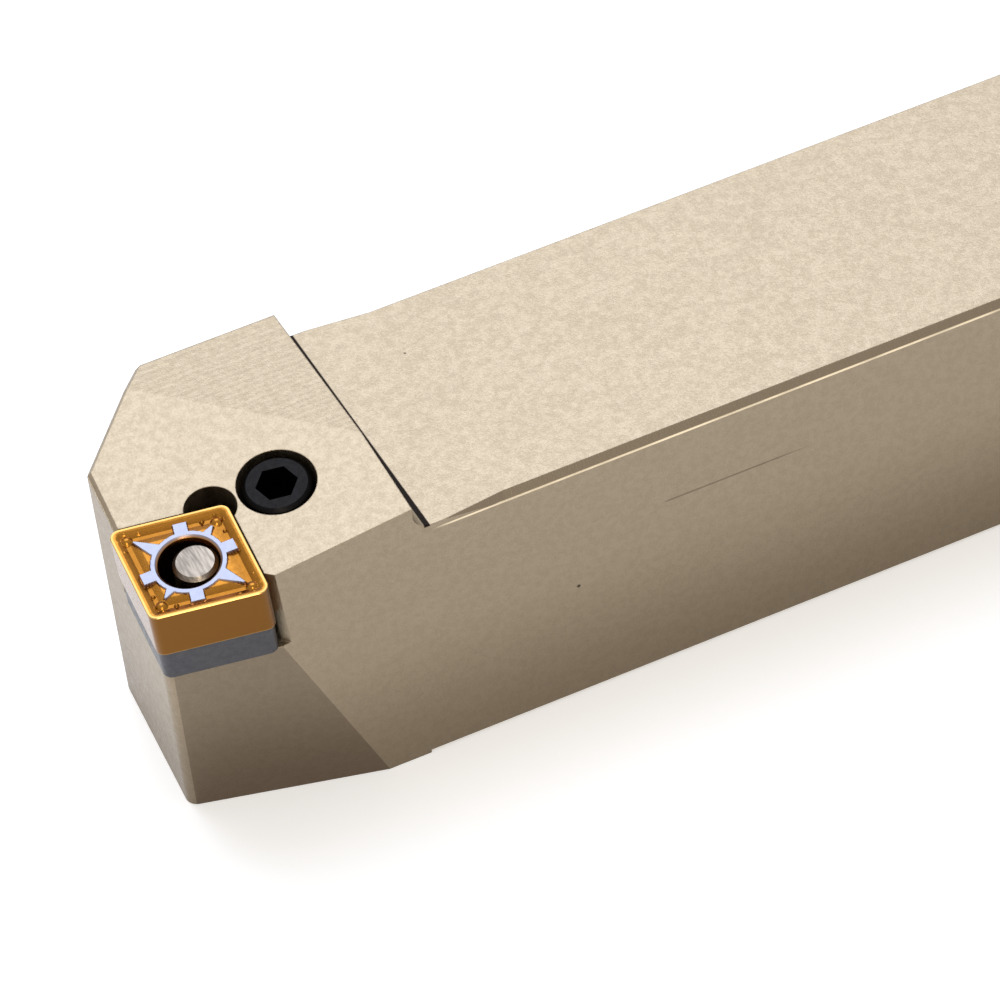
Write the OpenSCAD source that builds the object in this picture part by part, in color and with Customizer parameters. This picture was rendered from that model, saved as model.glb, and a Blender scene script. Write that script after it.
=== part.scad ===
// Right-hand lever-lock turning toolholder with an 80 degree rhombic insert.
// The 100 degree corner of the insert cuts, at a 75 degree approach angle.
// X runs along the shank to its rear end, Y to the far side, Z up.
// The origin is the middle of the bottom face, under the foot of the head's rear wall.

/* [Shank] */
// Overall length of the tool, from the cutting corner to the rear end
tool_l = 150; // [110:1:200]
// Width of the shank, across the tool
shank_w = 25; // [24:0.5:32]
// Height of the shank, which is also the height of the cutting corner
shank_h = 25; // [24:0.5:32]
// Bevel on the two long top edges of the shank
top_bevel = 0.62; // [0.3:0.02:1.2]
// Distance from the wall's foot to the start of the top bevels
bevel_start = 1; // [0.5:0.1:3]
// Length over which the top bevels come in
bevel_run = 5.5; // [2:0.5:10]
// Bevel on the two long bottom edges
bottom_bevel = 0.3; // [0.1:0.05:0.8]
// Bevel round the rear end face
end_bevel = 1; // [0.3:0.1:2]

/* [Head] */
// Length of the head, from the cutting corner to the foot of its rear wall
head_l = 23.7; // [23:0.1:27]
// Distance of the cutting corner inside the shank's near side
nose_inset = 1.23; // [0.8:0.01:1.8]
// Rise of the head's far top plane over the shank's top, at the near side
head_rise = 3.4; // [2.8:0.1:4]
// Slope of that plane down to the far side
head_fall = 1.15; // [0.5:0.05:2]
// Drop of the head's near top plane below the insert's top
head_drop = 0.1; // [0.05:0.01:0.2]
// Radius of the fillet at the foot of the head's rear wall
wall_fillet = 1.5; // [0.8:0.1:2]
// Distance from the cutting corner back to the end of the 45 degree face, on the far side
corner_cut = 9.9; // [8:0.1:12]
// Setback of the head's end face behind the insert's end edge
end_setback = 0.55; // [0.3:0.01:1]
// Clearance angle of the head's end face
end_clearance = 4.1; // [3:0.1:7]
// Setback of the side relief face from the shim's corner
side_setback = 0.62; // [0.3:0.02:1]
// Clearance angle of the side relief face
side_clearance = 6.9; // [5:0.1:9]
// Radius on the upright edge under the cutting corner
nose_edge_r = 1; // [0.6:0.1:2]
// Radius on the upright edge between the end face and the 45 degree face
end_edge_r = 1; // [0.6:0.1:3]
// Bevel along the front edges of the head's top
head_bevel = 0.3; // [0.15:0.01:0.5]
// Bevel on the upright edge where the pocket opens to the near side
pocket_bevel = 0.7; // [0.2:0.05:0.9]

/* [Insert] */
// Inscribed circle of the insert
insert_ic = 9.525; // [9.2:0.025:9.8]
// Thickness of the insert
insert_t = 4.76; // [4:0.02:5.2]
// Radius of the insert's corners
corner_r = 0.8; // [0.4:0.1:1.2]
// Radius of the hole through the insert
insert_hole_r = 2.5; // [2.46:0.01:2.55]
// Extra radius at the mouth of that hole
hole_mouth = 0.19; // [0.1:0.01:0.25]
// Angle of the side cutting edge from the shank's axis
lead = 15; // [13:0.5:17]
// Rise of the seat along the side cutting edge
edge_rise = 5; // [4:0.1:6]
// Rise of the seat square to the side cutting edge
rake_rise = 7; // [5:0.1:8]
// Width of the land along the cutting edges
land_w = 0.3; // [0.2:0.02:0.45]
// Width of the chip grooves' flat floor
groove_floor = 0.35; // [0.2:0.05:0.5]
// Distance of the grooves' inner edge from the cutting edge
groove_wide = 2.3; // [2.1:0.05:2.5]
// Distance of the grooves' ends from the insert's sharp corners
groove_end = 0.9; // [0.7:0.05:1.2]
// Depth of the chip grooves
groove_depth = 0.4; // [0.2:0.02:0.45]
// Distance of the grooves' floor from the cutting edge
groove_in = 1.1; // [1:0.02:1.3]
// Width of the ground ring round the insert's hole
ring_w = 0.4; // [0.3:0.02:0.6]
// Width of the four tabs of the ground face
tab_w = 1.3; // [0.8:0.05:1.6]
// Distance of those tabs' ends from the cutting edges
tab_gap = 0.75; // [0.6:0.05:1]
// Distance of the ground face's four points from the insert's sharp corners
point_gap = 2.3; // [2.1:0.05:2.6]
// Radius of the chip-forming dimple in each corner
bump_r = 0.45; // [0.3:0.01:0.5]

/* [Shim] */
// Thickness of the shim
shim_t = 3.18; // [2.8:0.02:3.6]
// How far the shim stays inside the insert's outline
shim_inset = 0.15; // [0.1:0.01:0.3]
// Outside radius of the slotted shim pin
sleeve_r = 2.75; // [2.7:0.01:2.8]
// Wall of the shim pin
sleeve_wall = 0.6; // [0.4:0.02:0.64]
// Depth to which the shim pin reaches below the seat
sleeve_depth = 2.1; // [1.5:0.1:2.2]
// Distance of the shim pin's top below the shim's top
sleeve_sink = 0.5; // [0.3:0.05:1]
// Width of the slot in the shim pin
sleeve_slot = 1; // [0.3:0.1:1.5]

/* [Lever] */
// Radius of the lever's pin head
pin_r = 1.85; // [1.7:0.01:1.87]
// Length of the pin head
pin_l = 2.6; // [2:0.1:3]
// Depth of the pin's top below the insert's top
pin_sink = 0.6; // [0.5:0.05:1]
// Radius of the lever's upright leg
leg_r = 1.3; // [1.1:0.05:1.35]
// Depth of the lever's pivot below the insert's top
pivot_depth = 12.4; // [12.3:0.1:13]
// Radius of the lever's round elbow
elbow_r = 1.45; // [1.3:0.05:1.5]
// Width of the lever's arm and elbow
arm_w = 2.8; // [2:0.1:3]
// Thickness of the lever's arm
arm_t = 2; // [1.6:0.1:2.2]
// Radius of the rounded foot at the arm's tip
foot_r = 1.15; // [1.05:0.05:1.25]

/* [Lever screw] */
// Distance of the screw's bore from the pocket's back corner, edge to corner
corner_web = 1.05; // [0.9:0.05:1.3]
// Direction of the screw from that corner, from the side cutting edge's direction
screw_angle = 12.5; // [10:0.5:16]
// Radius of the screw's head
screw_head_r = 2.78; // [2.6:0.02:2.9]
// Radius of the bore round that head
bore_r = 3.25; // [3.15:0.01:3.3]
// Distance of the screw's top below the head's near top plane
screw_sink = 0.12; // [0.05:0.01:0.5]
// Radius of the screw's neck, in which the lever's foot lies
neck_r = 1.6; // [1.4:0.05:1.7]
// Outside radius of the screw's thread
thread_r = 2.95; // [2.8:0.01:3.05]
// Length of the screw's threaded part
thread_l = 7.5; // [6:0.5:9]
// Width across the flats of the screw's hexagon socket
socket_af = 3; // [2:0.5:3]
// Depth of that socket
socket_depth = 3.5; // [2:0.1:4]
// Radius of the relief bored beside the pocket's back corner
relief_r = 2.15; // [2:0.01:2.2]
// Distance of that relief's axis before the pocket's back corner
relief_back = 1.43; // [1.2:0.01:1.6]

/* [Clearances] */
// Gap between the insert and the pocket's two walls
wall_gap = 0.12; // [0.02:0.01:0.2]
// Radial gap of the screw's thread in its hole
thread_gap = 0.05; // [0.02:0.01:0.09]
// Radial gap of the shim pin in the shim and in the seat
sleeve_gap = 0.05; // [0.01:0.01:0.08]
// Gap between the clamped pin head and the wall of the insert's hole
pin_gap = 0.05; // [0.03:0.01:0.08]
// Gap above and below the lever's foot in the screw's neck, and beside it
foot_gap = 0.15; // [0.1:0.01:0.2]
// Gap on each side of the lever's arm
arm_gap = 0.3; // [0.2:0.05:0.4]
// Room above the lever's arm for its swing
swing_room = 1.1; // [1:0.1:1.4]

/* [Hidden] */
$fn = 64;
// Overlap that carries a cut clear of the face it starts from
over = 1;
// Size of a block that clears the whole head
block = 60;
// Small bevel on pins and screws
trim = 0.3;

// Plan of the tool, from the origin
shank_l = tool_l - head_l;
y_near = -shank_w / 2;
y_far = shank_w / 2;
wall_x = -wall_fillet;
nose = [-head_l, y_near + nose_inset, shank_h];

// Insert's rhombus: the cutting corner at the origin, x along the side cutting edge
nose_angle = 100;
edge_l = insert_ic / sin(nose_angle);
end_dir = [cos(nose_angle), sin(nose_angle)];
back_corner = [edge_l + edge_l * end_dir[0], insert_ic];
hole_at = back_corner / 2;
corners = [[0, 0], [edge_l, 0], back_corner, edge_l * end_dir];
seat_depth = insert_t + shim_t;

// The seat's frame turns about its own x by the roll, then rises, then takes the lead
roll = atan(tan(rake_rise) * cos(edge_rise));
function rolled(p) = [p[0], p[1] * cos(roll) - p[2] * sin(roll), p[1] * sin(roll) + p[2] * cos(roll)];
function raised(p) = [p[0] * cos(edge_rise) - p[2] * sin(edge_rise), p[1],
                      p[0] * sin(edge_rise) + p[2] * cos(edge_rise)];
function led(p) = [p[0] * cos(lead) + p[1] * sin(lead), p[1] * cos(lead) - p[0] * sin(lead), p[2]];
function seat_vector(p) = led(raised(rolled(p)));
function seat_point(p) = nose + seat_vector(p);
seat_up = seat_vector([0, 0, 1]);
seat_end_dir = seat_vector([end_dir[0], end_dir[1], 0]);

// Heights of the head's two top planes over a point of the plan
function near_z(p) = shank_h - head_drop / seat_up[2]
    - (seat_up[0] * (p[0] - nose[0]) + seat_up[1] * (p[1] - nose[1])) / seat_up[2];
function far_z(p) = shank_h + head_rise - (p[1] - y_near) * tan(head_fall);
function head_point(p) = [p[0], p[1], min(near_z(p), far_z(p))];

// Plan of the head: the end face and the side relief face lean in towards the bottom
end_angle = nose_angle - lead;
cut_start = [-head_l + corner_cut, y_far];
shim_nose = seat_point([0, 0, -seat_depth]);
function end_line(z) = [nose[0] + end_setback + (shank_h - z) * tan(end_clearance), nose[1]];
function side_line(z) = [shim_nose[0], shim_nose[1] + side_setback / cos(lead)
                         + (shim_nose[2] - z) * tan(side_clearance)];

// Point where the line through p at angle a meets the line through q at angle b
function meet(p, a, q, b) =
    p + ((q[0] - p[0]) * sin(b) - (q[1] - p[1]) * cos(b)) / sin(b - a) * [cos(a), sin(a)];
function cut_end(z) = meet(end_line(z), end_angle, cut_start, 45);

// Arc of radius r that rounds the corner p between its neighbours a and b
function turn(d) = d > 180 ? d - 360 : (d < -180 ? d + 360 : d);
function rounded(a, p, b, r, steps) =
    let (u = (a - p) / norm(a - p), v = (b - p) / norm(b - p), half = acos(u * v) / 2,
         c = p + (u + v) / norm(u + v) * r / sin(half),
         s = p + u * r / tan(half) - c, e = p + v * r / tan(half) - c,
         start = atan2(s[1], s[0]), sweep = turn(atan2(e[1], e[0]) - start))
    [for (i = [0:steps]) c + r * [cos(start + sweep * i / steps), sin(start + sweep * i / steps)]];

// Pocket's back corner, and the screw beyond it
pocket_corner = back_corner * (1 + wall_gap / insert_ic);
screw_at = back_corner + (bore_r + corner_web) * [cos(screw_angle), sin(screw_angle)];

// Lever's own frame: from the insert's hole towards the screw
lever_dir = screw_at - hole_at;
lever_angle = atan2(lever_dir[1], lever_dir[0]);
lever_reach = norm(lever_dir);
pin_shift = insert_hole_r - pin_r - pin_gap;
foot_x = lever_reach - neck_r - foot_gap - foot_r;
slot_w = arm_w + 2 * arm_gap;
slot_floor = -pivot_depth - elbow_r - foot_gap;
slot_roof = -pivot_depth + arm_t / 2 + swing_room;
neck_top = -pivot_depth + foot_r + foot_gap;
neck_low = -pivot_depth - foot_r - foot_gap;
screw_top = -head_drop - screw_sink;

module in_seat(z = 0) {
    translate(nose) rotate([roll, -edge_rise, -lead]) translate([0, 0, z]) children();
}

module in_lever(z = 0) {
    in_seat(z) translate(hole_at) rotate([0, 0, lever_angle]) children();
}

module rhombus(inset) {
    // Insert's outline moved in by inset, with rounded corners
    k = 1 - 2 * inset / insert_ic;
    c = [for (p = corners) hole_at + (p - hole_at) * k];
    polygon([for (i = [0:3]) each rounded(c[(i + 3) % 4], c[i], c[(i + 1) % 4], corner_r, 8)]);
}

module head_outline(z) {
    side_start = meet(side_line(z), -lead, [0, y_near], 0);
    under_nose = meet(side_line(z), -lead, end_line(z), end_angle);
    polygon(concat([[wall_x, y_near], [wall_x, y_far], cut_start],
                   rounded(cut_start, cut_end(z), under_nose, end_edge_r, 6),
                   rounded(cut_end(z), under_nose, side_start, nose_edge_r, 6),
                   [side_start]));
}

module head_blank() {
    // The lean of the front faces makes the outline smaller at the bottom than at the top
    top = shank_h + head_rise;
    slice = 0.01;
    hull() {
        linear_extrude(height = slice) head_outline(0);
        translate([0, 0, top - slice]) linear_extrude(height = slice) head_outline(top);
    }
}

module shank_blank() {
    // Reaches into the head, past the wall
    b = bottom_bevel;
    start = wall_x - over;
    translate([start, 0, 0]) rotate([90, 0, 90]) linear_extrude(height = shank_l - start)
        polygon([[y_near + b, 0], [y_far - b, 0], [y_far, b], [y_far, shank_h],
                 [y_near, shank_h], [y_near, b]]);
}

module wall_foot() {
    // Concave fillet between the head's rear wall and the shank's top
    difference() {
        translate([wall_x - over, y_near, shank_h - over])
            cube([wall_fillet + over, shank_w, wall_fillet + over]);
        translate([0, y_near - over, shank_h + wall_fillet]) rotate([-90, 0, 0])
            cylinder(r = wall_fillet, h = shank_w + 2 * over);
    }
}

module top_planes() {
    // Above the far plane, and above the near plane that lies along the insert's top
    translate([-block, y_near, shank_h + head_rise]) rotate([-head_fall, 0, 0])
        translate([0, -over, 0]) cube([2 * block, block, block]);
    in_seat(-head_drop) translate([-block / 2, -block / 2, 0]) cube([2 * block, 2 * block, block]);
}

module top_bevels() {
    // Each bevel comes in over bevel_run and then runs to the rear end
    deep = top_bevel / sqrt(2);
    full = bevel_start + bevel_run;
    for (side = [-1, 1]) translate([0, side * y_far, shank_h]) rotate([-45 * side, 0, 0])
        rotate([90, 0, 0]) linear_extrude(height = 4 * top_bevel, center = true)
        polygon([[bevel_start, 0], [full, -deep], [shank_l + over, -deep],
                 [shank_l + over, over], [bevel_start, over]]);
}

module edge_bar(size, length) {
    // Square bar along x, turned so that it bevels an edge by size
    bar = size * sqrt(2);
    rotate([45, 0, 0]) translate([0, -bar / 2, -bar / 2]) cube([length, bar, bar]);
}

module end_bevels() {
    for (z = [0, shank_h]) translate([shank_l, y_near - over, z]) rotate([0, 0, 90])
        edge_bar(end_bevel, shank_w + 2 * over);
    for (y = [y_near, y_far]) translate([shank_l, y, -over]) rotate([0, -90, 0])
        edge_bar(end_bevel, shank_h + 2 * over);
}

module bevel_between(p, q, size) {
    // Bevels the edge between two points of the head's top
    d = q - p;
    translate(p) rotate([0, -asin(d[2] / norm(d)), atan2(d[1], d[0])])
        translate([-size, 0, 0]) edge_bar(size, norm(d) + 2 * size);
}

module front_bevels() {
    // Along the end face and the 45 degree face, on both top planes
    corner = cut_end(shank_h);
    end_start = meet(end_line(shank_h), end_angle, seat_point([corners[3][0], corners[3][1], 0]), -lead);
    gap_start = near_z(cut_start) - far_z(cut_start);
    gap_end = near_z(corner) - far_z(corner);
    crease = cut_start + (corner - cut_start) * gap_start / (gap_start - gap_end);
    bevel_between(head_point(end_start), head_point(corner), head_bevel);
    bevel_between(head_point(corner), head_point(crease), head_bevel);
    bevel_between(head_point(crease), head_point(cut_start), head_bevel);
}

module pocket() {
    // Open at the end and the near side, with walls along the insert's two back edges
    mouth = pocket_corner - block / 2 * end_dir;
    in_seat(-seat_depth) linear_extrude(height = block)
        polygon([pocket_corner, [-block / 2, pocket_corner[1]], [-block / 2, mouth[1]], mouth]);
}

module pocket_edge() {
    // Broken upright edge where the pocket's side wall opens to the near side
    top = seat_point([pocket_corner[0], pocket_corner[1], 0]);
    edge_top = top - seat_end_dir * (top[1] - y_near) / seat_end_dir[1];
    up = seat_up - seat_end_dir * seat_up[1] / seat_end_dir[1];
    foot = edge_top - up / norm(up) * seat_depth;
    translate(foot) rotate([0, atan2(up[0], up[2]), 0]) rotate([0, -90, 0])
        edge_bar(pocket_bevel, 2 * seat_depth);
}

module corner_relief() {
    // Bored beside the pocket's back corner, so the insert's corner never touches
    in_seat(-seat_depth) translate(pocket_corner - [relief_back, wall_gap])
        cylinder(r = relief_r, h = block);
}

module lever_room() {
    // Hole for the shim pin, the well under it, and the slot from there to the screw's bore
    in_lever(-seat_depth - sleeve_depth) cylinder(r = sleeve_r + sleeve_gap, h = block / 2);
    in_lever(slot_floor) translate([-slot_w / 2, -slot_w / 2, 0])
        cube([slot_w / 2 + lever_reach, slot_w, slot_roof - slot_floor]);
    in_lever(slot_floor) cylinder(r = sleeve_r - sleeve_wall, h = -slot_floor - seat_depth);
}

module screw_bore() {
    // Wide round the screw's head and neck, then threaded down through the bottom face
    in_seat(neck_low - foot_gap) translate(screw_at) cylinder(r = bore_r, h = block / 2);
    in_seat(-block / 2) translate(screw_at) cylinder(r = thread_r + thread_gap, h = block / 2);
}

module holder_body() {
    color([0.86, 0.81, 0.74]) difference() {
        union() {
            shank_blank();
            head_blank();
            wall_foot();
        }
        top_planes();
        top_bevels();
        end_bevels();
        front_bevels();
        pocket();
        pocket_edge();
        corner_relief();
        lever_room();
        screw_bore();
    }
}

module ground_face(h) {
    // Ring round the hole, four tabs to the sides and four points to the corners
    ring_r = insert_hole_r + hole_mouth + ring_w;
    reach = insert_ic / 2 - tab_gap;
    translate(hole_at) linear_extrude(height = h) {
        circle(r = ring_r);
        for (a = [-90, nose_angle - 90, 90, nose_angle + 90]) rotate(a)
            translate([0, -tab_w / 2]) square([reach, tab_w]);
        for (c = corners) {
            d = c - hole_at;
            rotate(atan2(d[1], d[0]))
                polygon([[0, -tab_w], [norm(d) - point_gap, 0], [0, tab_w]]);
        }
    }
}

module chip_grooves() {
    // Grooves with sloping sides along the four edges, inside the land and round the ground face
    difference() {
        for (i = [0:3]) {
            a = corners[i];
            b = corners[(i + 1) % 4];
            translate(a) rotate([0, 0, atan2(b[1] - a[1], b[0] - a[0])])
                translate([groove_end, 0, 0]) rotate([90, 0, 90])
                linear_extrude(height = edge_l - 2 * groove_end)
                polygon([[land_w - groove_depth, over], [land_w, 0], [groove_in, -groove_depth],
                         [groove_in + groove_floor, -groove_depth], [groove_wide, 0], [groove_wide, over]]);
        }
        translate([0, 0, -2 * over]) ground_face(4 * over);
    }
    for (c = corners) {
        d = hole_at - c;
        dimple = c + d / norm(d) * (corner_r + 2 * bump_r);
        translate([dimple[0], dimple[1], bump_r / 2]) sphere(r = bump_r, $fn = 24);
    }
}

module insert_face_cuts() {
    // What is cut into one face: its chip grooves and the mouth of its hole
    chip_grooves();
    translate([hole_at[0], hole_at[1], -hole_mouth])
        cylinder(r1 = insert_hole_r, r2 = insert_hole_r + 2 * hole_mouth, h = 2 * hole_mouth);
}

module insert() {
    color([0.82, 0.62, 0.27]) in_seat(-insert_t) difference() {
        linear_extrude(height = insert_t) rhombus(0);
        translate([hole_at[0], hole_at[1], -over]) cylinder(r = insert_hole_r, h = insert_t + 2 * over);
        translate([0, 0, insert_t]) insert_face_cuts();
        mirror([0, 0, 1]) insert_face_cuts();
    }
}

module shim() {
    color([0.32, 0.32, 0.33]) in_seat(-seat_depth) difference() {
        linear_extrude(height = shim_t) rhombus(shim_inset);
        translate([hole_at[0], hole_at[1], -over])
            cylinder(r = sleeve_r + sleeve_gap, h = shim_t + 2 * over);
    }
}

module shim_pin() {
    // Slotted spring sleeve that keeps the shim on its seat, with the lever's leg inside
    h = sleeve_depth + shim_t - sleeve_sink;
    color([0.55, 0.55, 0.56]) in_lever(-seat_depth - sleeve_depth) difference() {
        cylinder(r = sleeve_r, h = h);
        translate([0, 0, -over]) cylinder(r = sleeve_r - sleeve_wall, h = h + 2 * over);
        translate([-2 * sleeve_r, -sleeve_slot / 2, -over])
            cube([2 * sleeve_r, sleeve_slot, h + 2 * over]);
    }
}

module lever() {
    // Pin head in the insert's hole, leg, round elbow, and arm to the screw's neck
    color([0.8, 0.78, 0.74]) in_lever() {
        translate([pin_shift, 0, -pin_sink - pin_l]) rotate_extrude()
            polygon([[0, 0], [leg_r, 0], [pin_r, pin_r - leg_r], [pin_r, pin_l - trim],
                     [pin_r - trim, pin_l], [0, pin_l]]);
        translate([pin_shift, 0, -pivot_depth])
            cylinder(r = leg_r, h = pivot_depth - pin_sink - pin_l / 2);
        translate([pin_shift, 0, -pivot_depth]) rotate([90, 0, 0])
            cylinder(r = elbow_r, h = arm_w, center = true);
        translate([pin_shift, -arm_w / 2, -pivot_depth - arm_t / 2])
            cube([foot_x - pin_shift, arm_w, arm_t]);
        translate([foot_x, 0, -pivot_depth]) rotate([90, 0, 0])
            cylinder(r = foot_r, h = arm_w, center = true);
    }
}

module lever_screw() {
    // Head, neck for the lever's foot, and threaded part, in one turned piece
    low = neck_low - thread_l;
    color([0.12, 0.12, 0.12]) in_seat() translate(screw_at) difference() {
        rotate_extrude()
            polygon([[0, low], [thread_r - 2 * trim, low], [thread_r, low + 2 * trim],
                     [thread_r, neck_low - trim], [thread_r - trim, neck_low],
                     [neck_r, neck_low], [neck_r, neck_top], [screw_head_r, neck_top],
                     [screw_head_r, screw_top - trim], [screw_head_r - trim, screw_top],
                     [0, screw_top]]);
        translate([0, 0, screw_top - socket_depth])
            cylinder(d = socket_af / cos(30), h = socket_depth + over, $fn = 6);
    }
}

holder_body();
insert();
shim();
shim_pin();
lever();
lever_screw();
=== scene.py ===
"""Looks of a lever-lock turning toolholder: finishes, the insert's fine form, light and camera.

The holder's body, shim, pin, lever and screw keep their CAD meshes and get detailed materials. The insert is
modelled again here, with its ground face, chip grooves and corner bumps, in the place of its CAD node.
"""

import logging
import math
from dataclasses import dataclass, field
from enum import Enum
from typing import Dict, List, Optional, Sequence, Tuple, Union

import bpy
import numpy as np
from mathutils import Matrix, Vector


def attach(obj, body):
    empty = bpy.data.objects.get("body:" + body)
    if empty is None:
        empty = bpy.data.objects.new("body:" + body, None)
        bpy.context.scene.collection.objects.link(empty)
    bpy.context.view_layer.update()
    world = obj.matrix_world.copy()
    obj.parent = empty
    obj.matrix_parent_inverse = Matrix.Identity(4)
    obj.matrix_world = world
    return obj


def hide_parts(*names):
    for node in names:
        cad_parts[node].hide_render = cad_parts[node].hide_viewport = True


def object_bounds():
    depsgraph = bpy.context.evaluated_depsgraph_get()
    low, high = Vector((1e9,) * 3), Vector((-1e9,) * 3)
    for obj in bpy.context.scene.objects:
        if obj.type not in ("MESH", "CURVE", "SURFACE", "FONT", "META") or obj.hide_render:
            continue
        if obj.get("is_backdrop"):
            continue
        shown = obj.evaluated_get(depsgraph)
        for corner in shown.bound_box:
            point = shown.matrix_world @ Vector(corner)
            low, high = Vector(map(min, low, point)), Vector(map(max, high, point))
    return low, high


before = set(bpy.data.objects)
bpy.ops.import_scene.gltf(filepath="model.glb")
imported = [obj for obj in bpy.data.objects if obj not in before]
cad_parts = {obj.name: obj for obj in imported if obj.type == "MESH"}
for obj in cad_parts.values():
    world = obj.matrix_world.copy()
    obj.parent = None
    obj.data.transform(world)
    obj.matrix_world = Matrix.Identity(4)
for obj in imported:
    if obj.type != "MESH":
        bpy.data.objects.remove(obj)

log = logging.getLogger("toolholder")
logging.basicConfig(level=logging.INFO, format="%(message)s")

Colour = Tuple[float, float, float]
Point = Tuple[float, float, float]
Span = Tuple[float, float]
Quad = Tuple[int, int, int, int]
Socket = bpy.types.NodeSocket
Value = Union[float, Socket]

MM = 0.001
RIGHT_ANGLE = 90.0

# The curve from an 8-bit display colour to a linear one.
BYTE, TOE_END, TOE_SLOPE, CURVE_SHIFT, CURVE_POWER = 255, 0.04045, 12.92, 0.055, 2.4

# Sockets of the Mix node when it mixes colours.
MIX_SHARE, MIX_FIRST, MIX_SECOND, MIX_RESULT = 0, 6, 7, 2


def srgb(red: int, green: int, blue: int) -> Colour:
    """Turns an 8-bit display colour into a linear one.

    Args:
        red: Red, 0 to 255.
        green: Green, 0 to 255.
        blue: Blue, 0 to 255.

    Returns:
        The three linear channels.
    """
    def channel(value: int) -> float:
        """Returns one channel in linear light."""
        share = value / BYTE
        if share <= TOE_END:
            return share / TOE_SLOPE
        return ((share + CURVE_SHIFT) / (1 + CURVE_SHIFT)) ** CURVE_POWER

    return channel(red), channel(green), channel(blue)


class Slot(Enum):
    """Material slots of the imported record."""

    NICKEL = "nickel_steel"
    COATING = "coated_carbide"
    SHIM = "shim_carbide"
    BLACK = "black_steel"
    STEEL = "bare_steel"


class Mask(Enum):
    """Attributes of the insert's mesh that its coating reads."""

    GROUND = "ground"
    LAND = "land"
    GROOVE_SHADE = "deep"
    FACE = "face"


class Graph:
    """A node tree with short calls that add its nodes.

    Attributes:
        tree: The node tree.
    """

    def __init__(self, tree: bpy.types.NodeTree) -> None:
        """Keeps the node tree."""
        self.tree = tree

    def node(self, kind: str, inputs: Optional[Dict[Union[str, int], object]] = None,
             **options: object) -> bpy.types.Node:
        """Adds a node, sets its options and fills its inputs.

        Args:
            kind: Blender's type name of the node.
            inputs: Values or sockets, by input name or index.
            options: Attributes of the node, such as operation.

        Returns:
            The new node.
        """
        made = self.tree.nodes.new(kind)
        for name, value in options.items():
            setattr(made, name, value)
        for key, value in (inputs or {}).items():
            if isinstance(value, Socket):
                self.tree.links.new(value, made.inputs[key])
            else:
                made.inputs[key].default_value = value
        return made

    def calc(self, operation: str, first: Value, second: Value = 0.0, clamp: bool = False) -> Socket:
        """Adds a math node.

        Args:
            operation: Blender's name of the operation.
            first: First value.
            second: Second value, where the operation has one.
            clamp: True to keep the result from 0 to 1.

        Returns:
            The result.
        """
        inputs = {0: first, 1: second}
        return self.node("ShaderNodeMath", inputs, operation=operation, use_clamp=clamp).outputs[0]

    def product(self, first: Value, *others: Value) -> Socket:
        """Multiplies values.

        Args:
            first: First value.
            others: The other values.

        Returns:
            Their product.
        """
        result = first
        for other in others:
            result = self.calc("MULTIPLY", result, other)
        return result

    def ramp(self, value: Value, low: float, high: float, start: float = 0.0, end: float = 1.0) -> Socket:
        """Maps a value smoothly from one range to another, and holds it at the ends.

        Args:
            value: The value.
            low: Value that becomes start.
            high: Value that becomes end.
            start: Result at low.
            end: Result at high.

        Returns:
            The mapped value.
        """
        inputs = {"Value": value, "From Min": low, "From Max": high, "To Min": start, "To Max": end}
        return self.node("ShaderNodeMapRange", inputs, interpolation_type="SMOOTHSTEP").outputs["Result"]

    def fade(self, value: Value, low: float, high: float) -> Socket:
        """Returns 1 below low, 0 above high and a smooth step between them."""
        return self.ramp(value, low, high, 1.0, 0.0)

    def blend(self, share: Value, first: Union[Colour, Socket], second: Union[Colour, Socket]) -> Socket:
        """Mixes two colours.

        Args:
            share: Share of the second colour.
            first: Colour at 0.
            second: Colour at 1.

        Returns:
            The mixed colour.
        """
        ends = [end if isinstance(end, Socket) else (*end, 1) for end in (first, second)]
        inputs = {MIX_SHARE: share, MIX_FIRST: ends[0], MIX_SECOND: ends[1]}
        return self.node("ShaderNodeMix", inputs, data_type="RGBA").outputs[MIX_RESULT]

    def noise(self, vector: Socket, scale: Value, detail: float = 3.0) -> Socket:
        """Adds a noise texture.

        Args:
            vector: Position on the object.
            scale: Features per metre.
            detail: Number of finer layers.

        Returns:
            The noise, about 0 to 1.
        """
        inputs = {"Vector": vector, "Scale": scale, "Detail": detail}
        return self.node("ShaderNodeTexNoise", inputs).outputs["Fac"]

    def place(self) -> Socket:
        """Returns the position in the object's own frame."""
        return self.node("ShaderNodeTexCoord").outputs["Object"]

    def axes(self, vector: Socket) -> Sequence[Socket]:
        """Returns the three parts of a vector."""
        return self.node("ShaderNodeSeparateXYZ", {0: vector}).outputs

    def facing(self) -> Sequence[Socket]:
        """Returns the three parts of the surface's normal."""
        return self.axes(self.node("ShaderNodeNewGeometry").outputs["Normal"])

    def mask(self, mask: Mask) -> Socket:
        """Returns an attribute of the mesh."""
        return self.node("ShaderNodeAttribute", attribute_name=mask.value).outputs["Fac"]


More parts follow.
